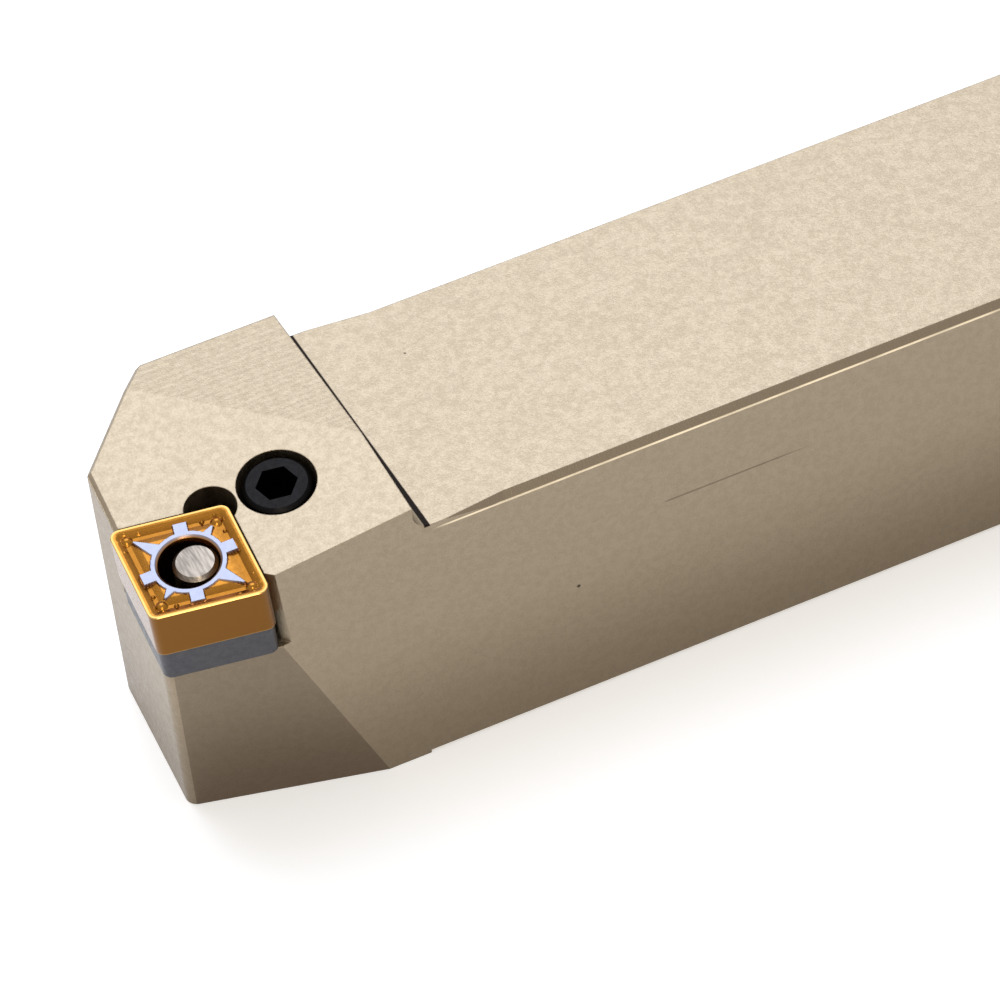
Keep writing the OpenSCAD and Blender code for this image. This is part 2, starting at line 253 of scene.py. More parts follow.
@dataclass(frozen=True)
class Grain:
    """Grain that all the metals share, as one shader node group.

    The group has the inputs Vector, Fine and Coarse (features per metre), and the outputs Blotch (slow
    change, -1 to 1), Grain (fine change, -1 to 1) and Height (for a bump).

    Attributes:
        fine: Fine grains per metre where a material sets none.
        coarse: Blotches per metre where a material sets none.
        fine_detail: Finer layers of the grain.
        coarse_detail: Finer layers of the blotches.
        reach: Noise values that become -1 and 1.
        grain_share: Share of the grain in the height.
        blotch_share: Share of the blotches in the height.
    """

    fine: float = 9000.0
    coarse: float = 420.0
    fine_detail: float = 2.0
    coarse_detail: float = 4.0
    reach: Span = (0.3, 0.7)
    grain_share: float = 0.6
    blotch_share: float = 0.4

    def build(self) -> bpy.types.NodeTree:
        """Makes the node group.

        Returns:
            The node group.
        """
        group = bpy.data.node_groups.new("metal_grain", "ShaderNodeTree")
        group.interface.new_socket("Vector", in_out="INPUT", socket_type="NodeSocketVector")
        for name, size in (("Fine", self.fine), ("Coarse", self.coarse)):
            made = group.interface.new_socket(name, in_out="INPUT", socket_type="NodeSocketFloat")
            made.default_value = size
        for name in ("Blotch", "Grain", "Height"):
            group.interface.new_socket(name, in_out="OUTPUT", socket_type="NodeSocketFloat")
        graph = Graph(group)
        source = graph.node("NodeGroupInput").outputs
        fine = graph.noise(source["Vector"], source["Fine"], self.fine_detail)
        coarse = graph.noise(source["Vector"], source["Coarse"], self.coarse_detail)
        blotch = graph.ramp(coarse, *self.reach, -1.0, 1.0)
        grain = graph.ramp(fine, *self.reach, -1.0, 1.0)
        height = graph.calc("ADD", graph.product(grain, self.grain_share),
                            graph.product(blotch, self.blotch_share))
        graph.node("NodeGroupOutput", {"Blotch": blotch, "Grain": grain, "Height": height})
        return group


@dataclass
class Surface:
    """A material while its finish is built.

    Attributes:
        material: The material.
        graph: Its node tree.
        shader: Its Principled BSDF.
        place: Position in the object's frame.
        colour: Base colour so far.
        rough: Roughness so far.
        height: Bump height so far.
    """

    material: bpy.types.Material
    graph: Graph
    shader: bpy.types.Node
    place: Socket
    colour: Socket
    rough: Socket
    height: Socket

    def tint(self, share: Value, colour: Colour) -> None:
        """Moves the base colour towards another one by a share."""
        self.colour = self.graph.blend(share, self.colour, colour)

    def lower(self, mask: Socket, depth: float) -> None:
        """Lowers the bump height by a depth where a mask is 1."""
        self.height = self.graph.calc("SUBTRACT", self.height, self.graph.product(mask, depth))

    def close(self, depth: float, soft_edge: float, samples: int = 6) -> bpy.types.Material:
        """Joins the colour, roughness and bump to the shader.

        Args:
            depth: Bump distance in metres.
            soft_edge: Radius in metres by which sharp edges catch light, or 0.
            samples: Rays that find the edges.

        Returns:
            The finished material.
        """
        inputs = {"Height": self.height, "Distance": depth, "Strength": 1.0}
        if soft_edge:
            rounded = self.graph.node("ShaderNodeBevel", {"Radius": soft_edge}, samples=samples)
            inputs["Normal"] = rounded.outputs["Normal"]
        bump = self.graph.node("ShaderNodeBump", inputs)
        ends = {"Base Color": self.colour, "Roughness": self.rough, "Normal": bump.outputs["Normal"]}
        for name, socket in ends.items():
            self.graph.tree.links.new(socket, self.shader.inputs[name])
        return self.material


@dataclass(frozen=True)
class Metal:
    """A metal finish with grain, blotches and a bump.

    Attributes:
        name: Name of the material.
        slot: Slot of the record that it belongs to; not used.
        colour: Linear base colour.
        dark: Linear colour that blotches and grain move towards.
        roughness: Mean roughness.
        spread: How far the grain moves the roughness.
        metallic: Share of metal.
        depth: Bump distance in metres.
        fine: Fine grains per metre.
        coarse: Blotches per metre.
        stretch: Scale of the grain along X, Y and Z, for brushed marks.
        contrast: How far the grain moves the colour towards the dark one.
        soft_edge: Radius in metres by which sharp edges catch light.
        even: Share of the blotches, and of the grain, in colour and roughness.
    """

    name: str
    slot: Slot
    colour: Colour
    dark: Colour
    roughness: float
    spread: float = 0.08
    metallic: float = 1.0
    depth: float = 0.01 * MM
    fine: float = 9000.0
    coarse: float = 420.0
    stretch: Point = (1.0, 1.0, 1.0)
    contrast: float = 0.35
    soft_edge: float = 0.0
    even: float = 0.5

    def start(self, grain: bpy.types.NodeTree) -> Surface:
        """Builds the base that every metal shares.

        Args:
            grain: The shared grain group.

        Returns:
            The material with its colour, roughness and height so far.
        """
        material = bpy.data.materials.new(self.name)
        material.use_nodes = True
        graph = Graph(material.node_tree)
        shader = material.node_tree.nodes["Principled BSDF"]
        shader.inputs["Metallic"].default_value = self.metallic
        place = graph.place()
        scaled = graph.node("ShaderNodeVectorMath", {0: place, 1: self.stretch}, operation="MULTIPLY")
        inputs = {"Vector": scaled.outputs["Vector"], "Fine": self.fine, "Coarse": self.coarse}
        texture = graph.node("ShaderNodeGroup", inputs, node_tree=grain).outputs
        both = graph.calc("ADD", graph.product(texture["Blotch"], self.even),
                          graph.product(texture["Grain"], self.even))
        share = graph.product(graph.ramp(both, -1.0, 1.0), self.contrast)
        rough = graph.calc("ADD", graph.product(both, self.spread), self.roughness)
        return Surface(material, graph, shader, place, graph.blend(share, self.colour, self.dark), rough,
                       texture["Height"])

    def mark(self, surface: Surface) -> None:
        """Adds the finish's own marks; a plain finish has none."""

    def build(self, grain: bpy.types.NodeTree) -> bpy.types.Material:
        """Builds the finish.

        Args:
            grain: The shared grain group.

        Returns:
            The finished material.
        """
        surface = self.start(grain)
        self.mark(surface)
        return surface.close(self.depth, self.soft_edge)


@dataclass(frozen=True)
class Pit:
    """A small pit in the plating.

    Attributes:
        centre: Its place in metres.
        radius: Its radius in metres.
        share: Its depth and darkness, 0 to 1.
        wobble: Unevenness of its edge, as a share of the radius.
        wobble_scale: Bumps of that edge per metre.
        edge: Radii between which it ends, as shares of the radius.
    """

    centre: Point
    radius: float
    share: float
    wobble: float = 0.9
    wobble_scale: float = 5200.0
    edge: Span = (0.75, 1.25)

    def mask(self, surface: Surface) -> Socket:
        """Finds the pit on the surface.

        Args:
            surface: The material.

        Returns:
            1 inside the pit, 0 outside.
        """
        graph = surface.graph
        wobble = graph.product(graph.noise(surface.place, self.wobble_scale), self.radius * self.wobble)
        inputs = {0: surface.place, 1: self.centre}
        away = graph.node("ShaderNodeVectorMath", inputs, operation="DISTANCE").outputs["Value"]
        inner, outer = self.edge
        return graph.fade(graph.calc("ADD", away, wobble), self.radius * inner, self.radius * outer)


@dataclass(frozen=True)
class SatinNickel(Metal):
    """Blasted and nickel-plated steel of the holder, with its machining marks, pits and scratch, and with
    painted shade, a painted shadow and a painted highlight.

    Attributes:
        crease: Point on the crease between the head's two top planes.
        crease_dir: Plan direction across the crease, towards the far plane.
        wall_x: Where the head's rear wall stands.
        step: Length over which a mark begins or ends.
        head_z: Heights between which the head's top begins.
        lines: Milling lines: scale, distortion and detail.
        line_depth: Height of the milling lines.
        line_shade: How far the milling lines darken.
        pits: The pits.
        pit_depth: Depth of a full pit.
        pit_tone: Linear colour in the pits.
        low: Linear colour of the painted shade on the upright faces and the bevels.
        upright: Rise of the normal between which a face stops being upright.
        painted_shade_z: Heights between which the painted shade fades.
        painted_shade_share: Painted shade at the bottom.
        relief_x: Normal's x between which the relief face ends.
        relief_y: Normal's y between which the relief face ends.
        relief_tone_and_shade: Darkening of the relief face: partly its own machined finish, partly painted
            shade.
        foot_shadow_x: Start and end of the painted shadow, a dark line behind the head, along X.
        foot_shadow_soft: Softness of that line's sides.
        foot_shadow_z: Heights between which that line begins.
        foot_shadow_tone: Linear colour of that painted shadow.
        bevel_y: Normal's y, without its sign, where a bevel begins and where it ends.
        bevel_z: Normal's z between which a bevel faces up.
        bevel_shade_share: Painted shade on the shank's upper bevels.
        edge_highlight_z: Height of the upper bevels' lower edge.
        edge_highlight_y: Distances from the middle between which the side face begins.
        edge_highlight_x: Where the painted highlight line begins.
        edge_highlight_scale: Patches of the painted highlight line per metre.
        edge_highlight_noise: Noise values between which a patch changes.
        edge_highlight_share: Brightness of the faintest and strongest patch.
        edge_highlight_tone: Linear colour of the painted highlight line.
        thin: Half widths between which a fine line ends.
        scratch: Start, end and height of the scratch on the near side.
        scratch_ends: Lengths over which the scratch begins and ends.
        near_y: Places across the tool between which the near side ends.
        scratch_depth: Depth of the scratch.
        scratch_share: Darkening of the scratch.
        scratch_tone: Linear colour of the scratch.
    """

    soft_edge: float = 0.14 * MM
    crease: Span = (-15.65 * MM, 10.6 * MM)
    crease_dir: Span = (0.71, 0.71)
    wall_x: float = -1.6 * MM
    step: float = 0.1 * MM
    head_z: Span = (27.0 * MM, 27.2 * MM)
    lines: Point = (520.0, 1.5, 2.0)
    line_depth: float = 0.9
    line_shade: float = 0.12
    pits: Tuple[Pit, ...] = (
        Pit((12.4 * MM, -12.5 * MM, 12.06 * MM), 0.24 * MM, 1.0),
        Pit((6.88 * MM, 6.12 * MM, 25.0 * MM), 0.15 * MM, 0.6),
        Pit((38.2 * MM, -12.5 * MM, 6.4 * MM), 0.11 * MM, 0.4),
    )
    pit_depth: float = 8.0
    pit_tone: Colour = srgb(60, 48, 38)
    # Painted shade: its colour, and how the upright faces darken towards the bottom and on the relief face.
    low: Colour = srgb(78, 63, 50)
    upright: Span = (0.25, 0.5)
    painted_shade_z: Span = (0.0, 16.0 * MM)
    painted_shade_share: float = 0.42
    relief_x: Span = (-0.2, -0.1)
    relief_y: Span = (-0.9, -0.8)
    relief_tone_and_shade: float = 0.36
    # Painted shadow in the fillet behind the head's rear wall.
    foot_shadow_x: Span = (-0.6 * MM, -0.08 * MM)
    foot_shadow_soft: float = 0.05 * MM
    foot_shadow_z: Span = (24.8 * MM, 24.95 * MM)
    foot_shadow_tone: Colour = srgb(20, 14, 10)
    # Painted shade on the shank's upper bevels.
    bevel_y: Tuple[Span, Span] = ((0.62, 0.68), (0.74, 0.8))
    bevel_z: Span = (0.6, 0.68)
    bevel_shade_share: float = 0.42
    # Painted highlight along the lower edge of the upper bevels.
    edge_highlight_z: float = 24.4 * MM
    edge_highlight_y: Span = (12.4 * MM, 12.46 * MM)
    edge_highlight_x: Span = (0.0, 2.0 * MM)
    edge_highlight_scale: float = 160.0
    edge_highlight_noise: Span = (0.3, 0.6)
    edge_highlight_share: Span = (0.45, 0.9)
    edge_highlight_tone: Colour = srgb(252, 232, 198)
    thin: Span = (0.05 * MM, 0.13 * MM)
    scratch: Point = (19.9 * MM, 34.2 * MM, 17.62 * MM)
    scratch_ends: Span = (1.0 * MM, 4.0 * MM)
    near_y: Span = (-12.4 * MM, -12.3 * MM)
    scratch_depth: float = 1.2
    scratch_share: float = 0.55
    scratch_tone: Colour = srgb(90, 74, 58)

    def mark(self, surface: Surface) -> None:
        """Adds the machining lines, the painted shade, painted shadow and painted highlight, the pits and
        the scratch.

        Args:
            surface: The material.
        """
        graph = surface.graph
        axes = graph.axes(surface.place)
        lines = self.milling(surface, axes)
        surface.height = graph.calc("ADD", surface.height, graph.product(lines, self.line_depth))
        surface.tint(graph.product(lines, self.line_shade), self.dark)
        # Painted shade low on the upright faces and on the relief face.
        surface.tint(self.painted_low_shade(graph, axes), self.low)
        # Painted shadow behind the head.
        surface.tint(self.painted_foot_shadow(graph, axes), self.foot_shadow_tone)
        surface.tint(self.bevel(graph), self.low)
        # Painted highlight along the bevels' lower edge.
        # Painted shade on the bevels.
        surface.tint(self.painted_edge_highlight(surface, axes), self.edge_highlight_tone)
        for pit in self.pits:
            mask = pit.mask(surface)
            surface.lower(mask, self.pit_depth * pit.share)
            surface.tint(graph.product(mask, pit.share), self.pit_tone)
        line = self.scratch_line(graph, axes)
        surface.lower(line, self.scratch_depth)
        surface.tint(graph.product(line, self.scratch_share), self.scratch_tone)

    def milling(self, surface: Surface, axes: Sequence[Socket]) -> Socket:
        """Draws the faint milling lines of the head's far top plane.

        Args:
            surface: The material.
            axes: Position along X, Y and Z.

        Returns:
            1 on a line, 0 between the lines and off that plane.
        """
        graph = surface.graph
        across = graph.calc("ADD", graph.product(axes[0], self.crease_dir[0]),
                            graph.product(axes[1], self.crease_dir[1]))
        edge = self.crease[0] * self.crease_dir[0] + self.crease[1] * self.crease_dir[1]
        far = graph.ramp(across, edge - self.step, edge + self.step)
        head = graph.fade(axes[0], self.wall_x, self.wall_x + self.step)
        top = graph.ramp(axes[2], *self.head_z)
        scale, distortion, detail = self.lines
        inputs = {"Vector": surface.place, "Scale": scale, "Distortion": distortion, "Detail": detail}
        lines = graph.node("ShaderNodeTexWave", inputs, bands_direction="Y").outputs["Fac"]
        return graph.product(far, head, top, lines)

    def painted_low_shade(self, graph: Graph, axes: Sequence[Socket]) -> Socket:
        """Paints shade: darkens the upright faces towards the bottom, and the head's relief face, which is
        partly its own machined finish.

        Args:
            graph: Node tree of the material.
            axes: Position along X, Y and Z.

        Returns:
            How far each point darkens.
        """
        facing = graph.facing()
        upright = graph.fade(graph.calc("ABSOLUTE", facing[2]), *self.upright)
        level = graph.ramp(axes[2], *self.painted_shade_z, self.painted_shade_share, 0.0)
        relief = graph.product(graph.fade(facing[0], *self.relief_x), graph.fade(facing[1], *self.relief_y),
                               self.relief_tone_and_shade)
        return graph.product(upright, graph.calc("ADD", level, relief, clamp=True))

    def bevel(self, graph: Graph) -> Socket:
        """Darkens the shank's upper bevels with painted shade.

        Args:
            graph: Node tree of the material.

        Returns:
            How far each point darkens.
        """
        facing = graph.facing()
        side = graph.calc("ABSOLUTE", facing[1])
        begin, end = self.bevel_y
        return graph.product(graph.ramp(side, *begin), graph.fade(side, *end),
                             graph.ramp(facing[2], *self.bevel_z), self.bevel_shade_share)

    def painted_edge_highlight(self, surface: Surface, axes: Sequence[Socket]) -> Socket:
        """Draws a painted highlight, a bright line along the lower edge of the upper bevels.

        Args:
            surface: The material.
            axes: Position along X, Y and Z.

        Returns:
            Strength of the line.
        """
        graph = surface.graph
        side = graph.ramp(graph.calc("ABSOLUTE", axes[1]), *self.edge_highlight_y)
        drop = graph.calc("ABSOLUTE", graph.calc("SUBTRACT", axes[2], self.edge_highlight_z))
        patches = graph.ramp(graph.noise(surface.place, self.edge_highlight_scale), *self.edge_highlight_noise, *self.edge_highlight_share)
        return graph.product(side, graph.fade(drop, *self.thin), patches, graph.ramp(axes[0], *self.edge_highlight_x))

    def painted_foot_shadow(self, graph: Graph, axes: Sequence[Socket]) -> Socket:
        """Draws the painted shadow, a dark line in the fillet behind the head.

        Args:
            graph: Node tree of the material.
            axes: Position along X, Y and Z.

        Returns:
            1 on the line, 0 off it.
        """
        start, end = self.foot_shadow_x
        return graph.product(graph.ramp(axes[0], start - self.foot_shadow_soft, start + self.foot_shadow_soft),
                             graph.fade(axes[0], end - self.foot_shadow_soft, end + self.foot_shadow_soft),
                             graph.ramp(axes[2], *self.foot_shadow_z))

    def scratch_line(self, graph: Graph, axes: Sequence[Socket]) -> Socket:
        """Draws the fine scratch along the near side.

        Args:
            graph: Node tree of the material.
            axes: Position along X, Y and Z.

        Returns:
            1 on the scratch, 0 off it.
        """
        start, end, level = self.scratch
        first, last = self.scratch_ends
        drop = graph.calc("ABSOLUTE", graph.calc("SUBTRACT", axes[2], level))
        inside = graph.product(graph.ramp(axes[0], start, start + first),
                               graph.fade(axes[0], end - last, end))
        return graph.product(graph.fade(drop, *self.thin), inside, graph.fade(axes[1], *self.near_y))


@dataclass(frozen=True)
class Coating(Metal):
    """Gold coating of the insert, worn off where the face is ground.

    Attributes:
        ground: Linear colour of the ground face.
        flank_shade_tone: Linear colour of the insert's sides, their painted shade.
        rim: Linear colour of the polished land.
        deep: Linear colour of the painted shade in the bottom of the chip grooves.
        deep_share: How far the painted shade moves the grooves towards that colour.
        rim_polish: How much smoother the land is.
        ground_rough: How much rougher the ground face is.
    """

    ground: Colour = srgb(134, 136, 149)
    # Painted shade on the insert's sides.
    flank_shade_tone: Colour = srgb(118, 78, 29)
    rim: Colour = srgb(178, 142, 80)
    # Painted shade in the chip grooves.
    deep: Colour = srgb(104, 62, 16)
    deep_share: float = 0.6
    rim_polish: float = 0.04
    ground_rough: float = 0.16

    def mark(self, surface: Surface) -> None:
        """Adds the painted shade on the sides and in the grooves, the land and the ground face.

        Args:
            surface: The material.
        """
        graph = surface.graph
        ground, land = graph.mask(Mask.GROUND), graph.mask(Mask.LAND)
        # Painted shade on the sides: they take the darker flank colour.
        surface.colour = graph.blend(graph.mask(Mask.FACE), self.flank_shade_tone, surface.colour)
        # Painted shade in the chip grooves, darker where they are deeper.
        surface.tint(graph.product(graph.mask(Mask.GROOVE_SHADE), self.deep_share), self.deep)
        surface.tint(land, self.rim)
        surface.tint(ground, self.ground)
        smooth = graph.calc("SUBTRACT", surface.rough, graph.product(land, self.rim_polish))
        surface.rough = graph.calc("ADD", smooth, graph.product(ground, self.ground_rough))


@dataclass(frozen=True)
class SeatFrame:
    """The insert's own frame, with its origin at the cutting corner and x along the side cutting edge.

    Attributes:
        nose: The cutting corner in the model's frame, in mm.
        lead: Turn of the side cutting edge from the shank, in degrees.
        edge_rise: Rise of the seat along that edge, in degrees.
        rake_rise: Rise of the seat square to that edge, in degrees.
    """

    nose: Point = (-23.7, -11.27, 25.0)
    lead: float = 15.0
    edge_rise: float = 5.0
    rake_rise: float = 7.0

    def matrix(self) -> Matrix:
        """Works out the way from the seat's frame to the model's.

        Returns:
            The matrix from the seat's frame in mm to the model's frame in metres.
        """
        roll = math.atan(math.tan(math.radians(self.rake_rise)) * math.cos(math.radians(self.edge_rise)))
        turn = (Matrix.Rotation(-math.radians(self.lead), 4, "Z")
                @ Matrix.Rotation(-math.radians(self.edge_rise), 4, "Y") @ Matrix.Rotation(roll, 4, "X"))
        return Matrix.Translation(Vector(self.nose) * MM) @ turn @ Matrix.Scale(MM, 4)


@dataclass(frozen=True)
class Bump:
    """A rounded bump near a corner that breaks the chip, in mm.

    Attributes:
        back: Its distance from the sharp corner towards the hole.
        off: Its distance to the side of that line.
        size: Its radius.
        top: Height of its top.
    """

    back: float
    off: float
    size: float
    top: float


@dataclass
class InsertForm:
    """Fine form of the rhombic insert, in mm: an outline, and a height over each point of a face.

    Attributes:
        circle: Inscribed circle of the rhombus.
        thickness: Distance between the faces.
        angle: Angle at the cutting corner, in degrees.
        corner_r: Radius of the corners.
        hole_r: Radius of the hole.
        mouth: Width and depth of the hole's bevel.
        mouth_trim: How far the ground face reaches into that bevel.
        lip: Width of the first ring past the bevel.
        land: Width of the land along the cutting edges.
        land_fade: How far past the land its polish ends, and over what width.
        hone: Section of the rounded cutting edge: distance inside the edge, and height.
        groove: Section of the chip groove past the land: distance inside the edge, and height.
        depth: Depth of the chip groove.
        ring: Width of the ground ring round the hole.
        tab: Half width of the four ground tabs.
        tab_gap: Distance of the tabs' ends from the cutting edges.
        point_gap: Distance of the four ground points' tips from the sharp corners.
        point_half: Half width that the ground points gain towards the hole.
        point_tip: Half width of their tips.
        wall: Width of the ground face's steep sides.
        bumps: The bumps of one corner.
        bump_fall: Fall of a bump from its top to its radius.
        edge_drop: Height that the sides begin below the faces' edges.
        around: Number of points round the hole.
        rings: Rings from the bevel's lip to the cutting edge, both ends counted.
        reach: Distances from the middle between which the outline lies.
        halvings: Steps by which the outline is found.
        corners: The sharp corners.
        centre: Middle of the hole.
    """

    circle: float = 9.525
    thickness: float = 4.76
    angle: float = 100.0
    corner_r: float = 0.8
    hole_r: float = 2.5
    mouth: float = 0.19
    mouth_trim: float = 0.02
    lip: float = 0.03
    land: float = 0.2
    land_fade: Span = (0.04, 0.06)
    hone: Tuple[Span, ...] = ((0.0, -0.05), (0.05, -0.01))
    groove: Tuple[Span, ...] = ((0.42, -0.07), (0.95, -0.36), (1.25, -0.36), (1.9, -0.16), (2.4, -0.1))
    depth: float = 0.36
    ring: float = 0.4
    tab: float = 0.62
    tab_gap: float = 0.75
    point_gap: float = 2.3
    point_half: float = 1.25
    point_tip: float = 0.12
    wall: float = 0.07
    bumps: Tuple[Bump, ...] = (Bump(1.75, 0.0, 0.52, -0.04), Bump(1.3, 0.42, 0.2, -0.06),
                               Bump(1.3, -0.42, 0.2, -0.06), Bump(2.25, 1.05, 0.24, -0.12),
                               Bump(2.25, -1.05, 0.24, -0.12))
    bump_fall: float = 0.34
    edge_drop: float = 0.06
    around: int = 540
    rings: int = 55
    reach: Span = (3.0, 8.0)
    halvings: int = 40
    corners: np.ndarray = field(init=False)
    centre: np.ndarray = field(init=False)

    def __post_init__(self) -> None:
        """Works out the sharp corners and the middle."""
        turn = math.radians(self.angle)
        edge = self.circle / math.sin(turn)
        end = edge * np.array([math.cos(turn), math.sin(turn)])
        self.corners = np.array([[0, 0], [edge, 0], [edge + end[0], end[1]], end])
        self.centre = self.corners[2] / 2

    def inside(self, points: np.ndarray) -> np.ndarray:
        """Measures how far points lie inside the rounded outline.

        Args:
            points: Points of the plan, as an array of pairs.

        Returns:
            The distances, negative outside.
        """
        turn = math.radians(self.angle)
        along = points[:, 1]
        across = points[:, 0] * math.sin(turn) - points[:, 1] * math.cos(turn)
        sides = np.stack([along, self.circle - across, self.circle - along, across], -1)
        result = sides.min(1)
        share = 1 - 2 * self.corner_r / self.circle
        for k, corner in enumerate(self.corners):
            first, second = sides[:, k - 1], sides[:, k]
            outward = corner - self.centre
            away = points - (self.centre + outward * share)
            length = np.hypot(away[:, 0], away[:, 1])
            opening = turn if k % 2 == 0 else math.pi - turn
            lean = (away @ outward) / np.linalg.norm(outward) / np.maximum(length, np.finfo(float).eps)
            in_wedge = (lean > math.sin(opening / 2)) & (first < self.corner_r) & (second < self.corner_r)
            result = np.where(in_wedge, self.corner_r - length, result)
        return result

    def radius(self, angles: np.ndarray) -> np.ndarray:
        """Finds how far the outline is from the hole's middle.

        Args:
            angles: Directions in radians.

        Returns:
            The distance in each direction.
        """
        ways = np.stack([np.cos(angles), np.sin(angles)], -1)
        low, high = (np.full(len(angles), end) for end in self.reach)
        for _ in range(self.halvings):
            half = (low + high) / 2
            within = self.inside(self.centre + ways * half[:, None]) > 0
            low, high = np.where(within, half, low), np.where(within, high, half)
        return low

    def along_way(self, points: np.ndarray, way: np.ndarray) -> Tuple[np.ndarray, np.ndarray]:
        """Measures points from the hole's middle along a direction and to its side.

        Args:
            points: Points of the plan.
            way: The direction, of length 1.

        Returns:
            The distances along and to the side, the latter without its sign.
        """
        away = points - self.centre
        return away @ way, np.abs(away @ np.array([-way[1], way[0]]))

    def ground(self, points: np.ndarray) -> np.ndarray:
        """Lays out the ground face: a ring, four tabs and four points, with steep sides.

        Args:
            points: Points of the plan.

        Returns:
            1 on the ground face, 0 off it.
        """
        away = np.hypot(*(points - self.centre).T)
        reaches = [self.hole_r + self.mouth + self.ring - away]
        for degrees in (-RIGHT_ANGLE, self.angle - RIGHT_ANGLE, RIGHT_ANGLE, self.angle + RIGHT_ANGLE):
            turn = math.radians(degrees)
            along, across = self.along_way(points, np.array([math.cos(turn), math.sin(turn)]))
            end = self.circle / 2 - self.tab_gap
            reaches.append(np.minimum(self.tab - across, np.minimum(along, end - along)))
        for corner in self.corners:
            length = np.linalg.norm(corner - self.centre)
            along, across = self.along_way(points, (corner - self.centre) / length)
            tip = length - self.point_gap
            half = self.point_half * (1 - along / tip) + self.point_tip
            reaches.append(np.minimum(half - across, np.minimum(along, tip - along)))
        return np.clip(np.max(reaches, axis=0) / self.wall, 0, 1)

    def bump_height(self, points: np.ndarray) -> np.ndarray:
        """Lays out the bumps of all corners.

        Args:
            points: Points of the plan.

        Returns:
            Their height, and 1 mm down away from them.
        """
        height = np.full(len(points), -1.0)
        for corner in self.corners:
            way = (self.centre - corner) / np.linalg.norm(self.centre - corner)
            side = np.array([-way[1], way[0]])
            for bump in self.bumps:
                away = np.hypot(*(points - (corner + way * bump.back + side * bump.off)).T)
                height = np.maximum(height, bump.top - self.bump_fall * (away / bump.size) ** 2)
        return height

    def height(self, points: np.ndarray) -> Tuple[np.ndarray, np.ndarray, np.ndarray]:
        """Works out the face's height and its masks.

        Args:
            points: Points of the plan, as an array of pairs.

        Returns:
            The height (0 at the top, down negative), the ground mask and the land mask.
        """
        inside = self.inside(points)
        section = np.array([*self.hone, (self.land, self.hone[-1][1]), *self.groove])
        level = np.interp(inside, section[:, 0], section[:, 1])
        level = np.maximum(level, np.where(inside > self.land, self.bump_height(points), -1.0))
        ground = self.ground(points)
        away = np.hypot(*(points - self.centre).T)
        mouth_end = self.hole_r + self.mouth
        level = level * (1 - ground) - np.clip(mouth_end - away, 0, self.mouth)
        past, width = self.land_fade
        land = np.clip((self.land + past - inside) / width, 0, 1)
        return level, ground * (away > mouth_end - self.mouth_trim), land


@dataclass
class Insert:
    """The insert as a closed mesh of rings round its hole.

    Attributes:
        form: Its shape.
        seat: Its place.
        crease_angle: Angle in degrees from which an edge stays sharp.
    """

    form: InsertForm = field(default_factory=InsertForm)
    seat: SeatFrame = field(default_factory=SeatFrame)
    crease_angle: float = 32.0

    def face(self) -> Tuple[np.ndarray, Dict[Mask, np.ndarray]]:
        """Lays out one face in rings from the hole to the outline.

        Returns:
            Points of the face in rings, and its masks.
        """
        form = self.form
        angles = np.linspace(0, 2 * math.pi, form.around, endpoint=False)
        radii = form.radius(angles)
        mouth_end = form.hole_r + form.mouth
        start = mouth_end + form.lip
        rows = [np.full_like(angles, distance) for distance in (form.hole_r, mouth_end, start)]
        rows += [start + (radii - start) * share for share in np.linspace(0, 1, form.rings)[1:-1]]
        rows += [radii - form.hone[-1][0], radii]
        ways = np.stack([np.cos(angles), np.sin(angles)], -1)
        plan = np.concatenate([form.centre + ways * row[:, None] for row in rows])
        level, ground, land = form.height(plan)
        # The groove depth mask drives the painted shade in the chip grooves.
        masks = {Mask.GROUND: ground, Mask.LAND: land, Mask.GROOVE_SHADE: np.clip(-level / form.depth, 0, 1),
                 Mask.FACE: np.ones(len(plan))}
        return np.column_stack([plan, level]), masks

    def quads(self, step: int) -> List[Quad]:
        """Joins the rings of both faces, the sides and the hole.

        Args:
            step: Number of points on one face.

        Returns:
            The faces of the closed mesh.
        """
        count = self.form.around
        spokes = np.arange(count)
        following = (spokes + 1) % count
        upper, lower = 2 * step + spokes, 2 * step + count + spokes
        upper_next, lower_next = 2 * step + following, 2 * step + count + following
        last = step - count
        strips = []
        for inner in range(0, last, count):
            outer = inner + count
            strips.append((inner + spokes, outer + spokes, outer + following, inner + following))
            strips.append((step + inner + following, step + outer + following, step + outer + spokes,
                           step + inner + spokes))
        strips.append((last + spokes, upper, upper_next, last + following))
        strips.append((upper, lower, lower_next, upper_next))
        strips.append((lower, step + last + spokes, step + last + following, lower_next))
        strips.append((following, step + following, step + spokes, spokes))
        return [tuple(quad) for strip in strips for quad in np.stack(strip, -1).tolist()]

    def build(self, material: bpy.types.Material) -> bpy.types.Object:
        """Builds the piece in the model's frame.

        Args:
            material: Finish of the insert.

        Returns:
            The new object.
        """
        form = self.form
        top, masks = self.face()
        step, count = len(top), form.around
        low = top * np.array([1, 1, -1]) - np.array([0, 0, form.thickness])
        drop = np.array([0, 0, form.edge_drop])
        points = np.concatenate([top, low, top[-count:] - drop, low[-count:] + drop])
        place = np.array(self.seat.matrix())
        placed = points @ place[:3, :3].T + place[:3, 3]
        mesh = bpy.data.meshes.new("insert_fine")
        mesh.from_pydata(placed.tolist(), [], self.quads(step))
        for mask, shares in masks.items():
            values = np.concatenate([shares, shares, np.zeros(2 * count)]).astype(np.float32)
            mesh.attributes.new(mask.value, "FLOAT", "POINT").data.foreach_set("value", values)
        mesh.validate()
        mesh.update()
        mesh.shade_smooth()
        mesh.set_sharp_from_angle(angle=math.radians(self.crease_angle))
        mesh.materials.append(material)
        piece = bpy.data.objects.new("insert_fine", mesh)
        bpy.context.scene.collection.objects.link(piece)
        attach(piece, "holder")
        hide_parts("insert")
        log.info("insert_fine: %d faces, %s", len(mesh.polygons), material.name)
        return piece


